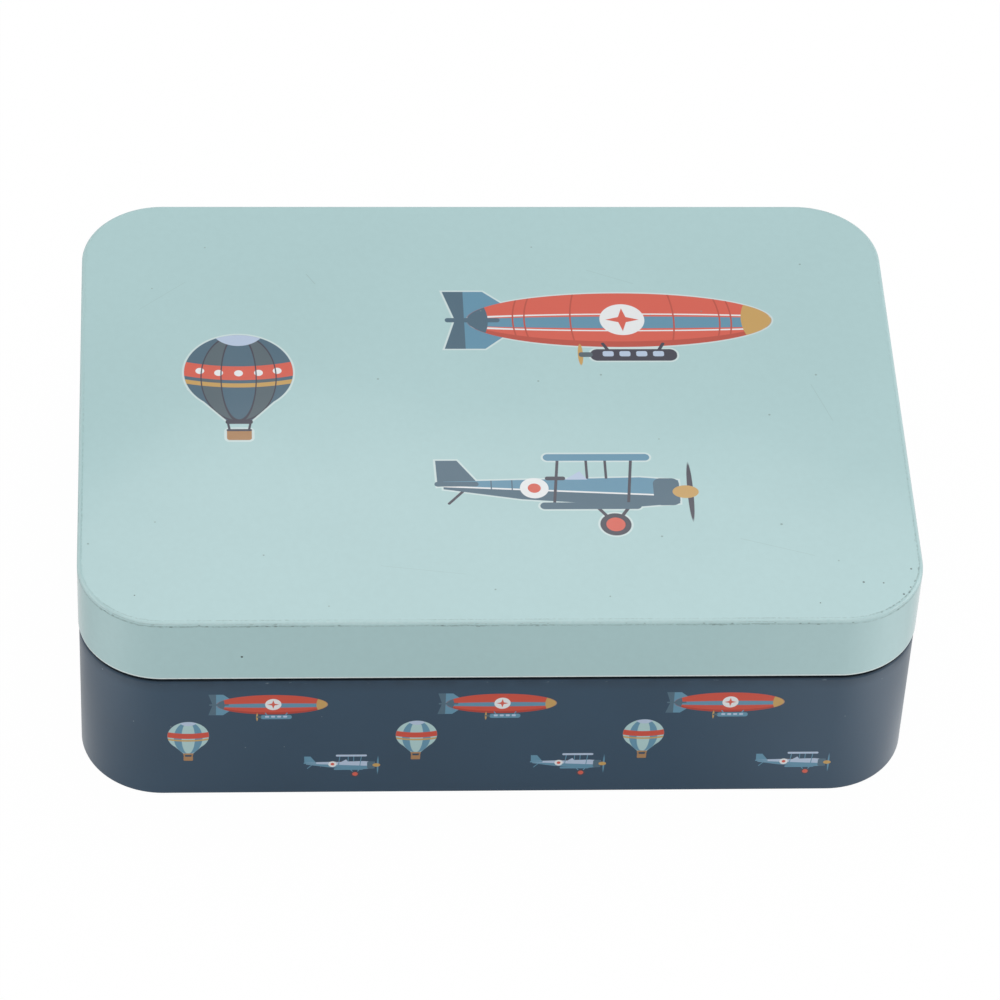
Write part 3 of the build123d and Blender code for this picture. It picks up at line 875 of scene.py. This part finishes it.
LID_LENGTH, LID_DEPTH = lid_high.x - lid_low.x, lid_high.y - lid_low.y
lid_line = fold((-LID_PANEL_RUN, lid_high.z - SHEET / 2), 0, [
    (UPPER_CREASE, LID_EDGE_BEND, -90),
    (lid_high.z - lid_low.z - SHEET - LID_EDGE_BEND - LID_HEM_BEND, LID_HEM_BEND, -180),
    (LID_HEM, 0, 0),
])
lid_face, lid_back = face_of(lid_line, 1), face_of(lid_line, -1)[::-1]
lid_section = lid_face + lid_back
lid_across = run_of(lid_section)
lid_printed = lid_across[len(lid_face) - 1]
lid_outline = outline(LID_LENGTH, LID_DEPTH, LID_RADIUS)
middle_line = (LID_LENGTH - LID_DEPTH) / 2
lid = swept("lid_shell", lid_outline, lid_section, printed_mint(), lid_printed, middle_line)
point, flat, middle, _ = corners_of(lid.data)
across, quarters = middle[:, 1], quarters_of(middle, run_of(lid_outline)[-1])
hem_start = LOWER_CREASE + lid_high.z - lid_low.z - ABOVE_HEM
back_panel = lid_across[-1] - LID_PANEL_RUN + INSIDE_PANEL
patches = [
    (across < UPPER_CREASE, point[:, :2], (0, 0, 1, 0.70)),
    (across > back_panel, point[:, :2], (0, 0.89, 0.6, 1)),
    ((across > hem_start) & (across < lid_printed), flat, (0, 0.86, 1, 0.89)),
    ((across > lid_printed) & (across < back_panel), flat, (0.6, 0.89, 1, 1)),
]
for quarter in range(4):
    corners = (across > UPPER_CREASE) & (across < hem_start) & (quarters == quarter)
    patches.append((corners, flat, (0, 0.7 + 0.04 * quarter, 1, 0.74 + 0.04 * quarter)))
lay_flat(lid.data, patches, 0.002)
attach(lid, "lid")
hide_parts("lid")

# ------------------------------
# Hinge straps. Two pressed from nickel-plated steel for each hinge, with their ends rolled
# into knuckles round the pin. One is riveted to the lid's skirt and one to the base's wall.

NICKEL, NICKEL_DULL, NICKEL_RUB = shade(206, 201, 190), shade(172, 168, 160), shade(228, 225, 218)


def nickel_plate():
    material, surface, point = new_material("nickel_plate", Metallic=1.0)
    grain = (point * (300, 2600, 2600)).noise(1, 3)
    clouds = point.noise(260, 3)
    colour = (grain * 0.4 + clouds * 0.6).within(0.35, 0.65).between(NICKEL_DULL, NICKEL)
    scratches = (point * (240, 3000, 700)).noise(1, 2).within(0.66, 0.72)
    colour = colour.mix(NICKEL_RUB, scratches * 0.6)
    feed(surface, colour, grain * 0.14 + clouds * 0.12 + scratches * 0.12 + 0.16,
         grain * 1.5e-6 + clouds * 6e-6 - scratches * 1.5e-6)
    return material


def finish_nodes(material, *names):
    for name in names:
        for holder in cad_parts[name].material_slots:
            holder.material = material


leaves = ("lid_leaf_left", "lid_leaf_right", "base_leaf_left", "base_leaf_right")
finish_nodes(nickel_plate(), *leaves)

# ------------------------------
# Hinge pins. A bright drawn steel wire through each hinge's knuckles, on which the lid turns,
# with a small head at each end.


def drawn_wire():
    material, surface, point = new_material("drawn_wire", Metallic=1.0)
    lines = (point * (60, 5200, 5200)).noise(1, 3)
    colour = lines.within(0.3, 0.7).between(shade(168, 170, 172), shade(208, 209, 210))
    feed(surface, colour, lines * 0.2 + 0.2, lines * 1.5e-6)
    return material


finish_nodes(drawn_wire(), "hinge_pin_left", "hinge_pin_right")

# ------------------------------
# Rivets. Soft steel, two through each strap. Their domed heads are outside, and their ends
# are set flat inside the tin.

RIVET_SPACING = 11 * MM
RIVET_HEAD_RADIUS, RIVET_HEAD_RIM, RIVET_HEAD_HEIGHT = 1.6 * MM, 0.12 * MM, 0.7 * MM
RIVET_RADIUS, RIVET_END_RADIUS, RIVET_END_HEIGHT = 0.8 * MM, 1.3 * MM, 0.4 * MM
RIVET_END_ROUND = 0.25 * MM
STRAP = 0.4 * MM
RIVET_SIDES, RIVET_SHARP = 40, 35
LEAST_RIVET = 0.97  # share of its size that the smallest rivet has


def rivet_mesh():
    """A rivet along Y, whose wall's outer face is at 0."""
    profile = [(0, -SHEET - RIVET_END_HEIGHT)]
    for turn in np.linspace(0, pi / 2, 5):
        profile.append((
            RIVET_END_RADIUS - RIVET_END_ROUND * (1 - sin(turn)),
            -SHEET - RIVET_END_HEIGHT + RIVET_END_ROUND * (1 - cos(turn)),
        ))
    profile += [(RIVET_END_RADIUS, -SHEET), (RIVET_RADIUS, -SHEET), (RIVET_RADIUS, STRAP)]
    profile += [(RIVET_HEAD_RADIUS, STRAP)]
    for turn in np.linspace(0, pi / 2, 9):
        profile.append((
            RIVET_HEAD_RADIUS * cos(turn),
            STRAP + RIVET_HEAD_RIM + (RIVET_HEAD_HEIGHT - RIVET_HEAD_RIM) * sin(turn),
        ))
    profile[-1] = (0, STRAP + RIVET_HEAD_HEIGHT)
    rings = []
    for radius, y in profile:
        turns = [2 * pi * k / RIVET_SIDES for k in range(RIVET_SIDES if radius else 1)]
        rings.append([(radius * cos(t), y, radius * sin(t)) for t in turns])
    return joined("rivet", rings, RIVET_SHARP)


def rivet_tree():
    """A rivet at each point, each turned and sized a little differently."""
    inputs = {"Rivet": "Object", "Places": "Object", "Least Size": "Float", "Seed": "Int"}
    tree, given, identifiers = new_tree("set_rivets", inputs | {"Finish": "Material"})

    def random(low, high, seed):
        return seed.node("FunctionNodeRandomValue", {}, {2: low, 3: high, "Seed": seed}, 1)

    rivet, places = given["Rivet"].geometry(), given["Places"].geometry()
    turn = random(0.0, 2 * pi, given["Seed"])
    size = random(given["Least Size"], 1.0, given["Seed"] + 1)
    turns = turn.together(y=turn)
    inputs = {"Points": places, "Instance": rivet, "Rotation": turns, "Scale": size}
    rivets = places.node("GeometryNodeInstanceOnPoints", {}, inputs)
    rivets = rivets.node("GeometryNodeRealizeInstances", {}, {0: rivets})
    rivets = rivets.node("GeometryNodeSetMaterial", {}, {0: rivets, 2: given["Finish"]})
    rivets.into(tree.nodes.new("NodeGroupOutput").inputs[0])
    return tree, identifiers


def soft_steel():
    material, surface, point = new_material("soft_steel", Metallic=1.0)
    clouds, marks = point.noise(700, 3), point.noise(2400, 2)
    colour = clouds.within(0.3, 0.7).between(shade(150, 148, 144), shade(204, 201, 195))
    feed(surface, colour, clouds * 0.2 + marks * 0.1 + 0.2, clouds * 1.6e-5 + marks * 4e-6)
    return material


tree, identifiers = rivet_tree()
steel = soft_steel()
rivet = placed("rivet", rivet_mesh())
rivet.data.materials.append(steel)
for body, wall_y, seed in (("lid", lid_high.y, 3), ("base", wall_high.y, 8)):
    low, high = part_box(body + "_rivets")
    reach, z = high.x - RIVET_HEAD_RADIUS, (low.z + high.z) / 2
    holes = bpy.data.meshes.new(body + "_holes")
    across_back = (-reach, RIVET_SPACING - reach, reach - RIVET_SPACING, reach)
    holes.from_pydata([(x, wall_y, z) for x in across_back], [], [])
    places = placed(body + "_holes", holes)
    values = {"Rivet": rivet, "Places": places, "Least Size": LEAST_RIVET, "Seed": seed, "Finish": steel}
    rivets = made_by(body + "_strap_rivets", tree, identifiers, values)
    bpy.data.objects.remove(places)
    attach(rivets, body)
    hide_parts(body + "_rivets")
bpy.data.objects.remove(rivet)

# ------------------------------
# Floor, light and camera. A pale table in a white room, with five soft lamps round the tin. Only
# the camera and the tin's gloss see the room as white as it is drawn.

scene = bpy.context.scene
scene.view_settings.view_transform = "Standard"
FLOOR_SIZE = 4.0
WORLD_LIGHT = 0.43
TABLE_TONE = 0.65
UNLIT_SHARE = 0.97  # of the table's white that shadows don't reach, as the camera sees it
GLOSS_UNLIT, GLOSS_UNLIT_BESIDE = 0.5, 0.4  # and as the tin's gloss does, and more beside it
RIGHT_LIGHT, LEFT_LIGHT = 0.90, 0.55  # how much brighter the table is beside the tin's front
BESIDE_SHADE = 0.55  # and how much darker it gets along the tin's ends
WHITE_LIFT = 0.012  # brings the table up to the white of the room


def ray_kinds(tree):
    """1 for rays from the camera, and 1 for those that metal and varnish send back."""
    camera = Wire.add(tree, "ShaderNodeLightPath", {}, {}, "Is Camera Ray")
    return camera, camera.also("Is Glossy Ray").math("MAXIMUM", camera.also("Is Transmission Ray"))


def staged(name, corners, material, facing=Matrix()):
    """A flat sheet that isn't part of the tin."""
    mesh = bpy.data.meshes.new(name)
    mesh.from_pydata(corners, [], [range(len(corners))])
    mesh.transform(facing)
    mesh.materials.append(material)
    sheet = placed(name, mesh)
    return sheet


tone = (TABLE_TONE, TABLE_TONE, TABLE_TONE, 1)
table, surface, point = new_material("pale_table", Roughness=0.9, Base_Color=tone)
camera_ray, sent_back = ray_kinds(point.tree)
# the tin's gloss sees a table that is brighter beside the tin than before it, and darker along
# the tin's ends
across_table, along_table, _ = point.apart()
ahead = along_table.within(-0.16, -0.10)
right = ahead * across_table.within(0.030, 0.082) * across_table.within(0.20, 0.12)
left = ahead * across_table.within(-0.038, -0.095) * across_table.within(-0.20, -0.12)
beside = right.math("MAXIMUM", left)
shade_beside = sent_back * beside * along_table.within(-0.062, -0.030) * BESIDE_SHADE
strength = (sent_back * (right * RIGHT_LIGHT + left * LEFT_LIGHT) + 1) * (1 - shade_beside)
strength = strength + camera_ray * WHITE_LIFT
share = sent_back * (beside * GLOSS_UNLIT_BESIDE + GLOSS_UNLIT)
share = share.math("MAXIMUM", camera_ray * UNLIT_SHARE)
white = strength.node("ShaderNodeEmission", {}, {"Strength": strength})
mixed = white.node("ShaderNodeMixShader", {}, {0: share, 1: Wire(surface.outputs[0]), 2: white})
# from below, the table is clear, so that the tin's underside shows
below = white.node("ShaderNodeNewGeometry", {}, {}, "Backfacing")
clear = white.node("ShaderNodeBsdfTransparent", {}, {})
mixed = white.node("ShaderNodeMixShader", {}, {0: below, 1: mixed, 2: clear})
mixed.into(table.node_tree.nodes["Material Output"].inputs["Surface"])
half = FLOOR_SIZE / 2
staged("floor", [(-half, -half, 0), (half, -half, 0), (half, half, 0), (-half, half, 0)], table)

world = bpy.data.worlds.new("white_room")
scene.world = world
world.use_nodes = True
background = world.node_tree.nodes["Background"]
background.inputs["Color"].default_value = (1, 1, 1, 1)
camera_ray, sent_back = ray_kinds(world.node_tree)
strength = camera_ray.math("MAXIMUM", sent_back) * (1 - WORLD_LIGHT) + WORLD_LIGHT
strength.into(background.inputs["Strength"])

BEHIND = (0.045, 0.56, 0.99)  # the lid's top mirrors what is here
LAMPS = (  # name, place, width, height, roll in degrees, watts
    ("behind", BEHIND, 0.56, 0.585, -4, 1.95),
    ("above", (-0.10, 0.00, 1.20), 0.80, 0.80, 0, 2.25),
    ("front", (0.00, -1.30, 0.40), 1.80, 0.70, 0, 3.9),
    ("left", (-1.00, 0.00, 0.42), 1.00, 0.70, 0, 2.1),
    ("right", (1.00, 0.00, 0.42), 1.20, 0.70, 0, 4.0),
)


def facing_tin(place, roll=0):
    """What stands at a place and faces the tin, turned in its own plane by roll."""
    aim = (-Vector(place)).to_track_quat("-Z", "Y").to_matrix().to_4x4()
    return Matrix.Translation(place) @ aim @ Matrix.Rotation(radians(roll), 4, "Z")


for name, place, width, height, roll, watts in LAMPS:
    lamp = bpy.data.lights.new(name, "AREA")
    lamp.shape, lamp.size, lamp.size_y, lamp.energy = "RECTANGLE", width, height, watts
    holder = placed(name, lamp)
    holder.matrix_world = facing_tin(place, roll)
    holder.visible_camera = False
    holder.visible_glossy = name != "front"  # the open lid's bare inside faces this one

# a grey card before the lamp's lower left corner, which only the tin's gloss sees
CARD_CORNERS = ((0.100, -0.300), (0.36, -0.130), (0.36, -0.305))
CARD_AHEAD, CARD_LIGHT = 5 * MM, 0.05
grey, _, point = new_material("grey_card")
shine = point.node("ShaderNodeEmission", {}, {"Strength": CARD_LIGHT})
shine.into(grey.node_tree.nodes["Material Output"].inputs["Surface"])
corners = [(x, y, -CARD_AHEAD) for x, y in CARD_CORNERS]
card = staged("grey_card", corners, grey, facing_tin(BEHIND))
card.visible_camera = card.visible_diffuse = card.visible_shadow = False

CAMERA_PLACE = (-0.0525162, -0.6311481, 0.6512088)
CAMERA_TURNS = ((-4.96378777, "Z"), (45.04939450, "X"), (3.32063878, "Z"))  # degrees
CAMERA_LENS, CAMERA_SENSOR = 185.942268, 36  # mm
camera = bpy.data.cameras.new("camera")
camera.sensor_width, camera.lens, camera.clip_start = CAMERA_SENSOR, CAMERA_LENS, 0.01
turned = Matrix.Translation(CAMERA_PLACE)
for angle, axis in CAMERA_TURNS:
    turned = turned @ Matrix.Rotation(radians(angle), 4, axis)
scene.camera = placed("camera", camera)
scene.camera.matrix_world = turned
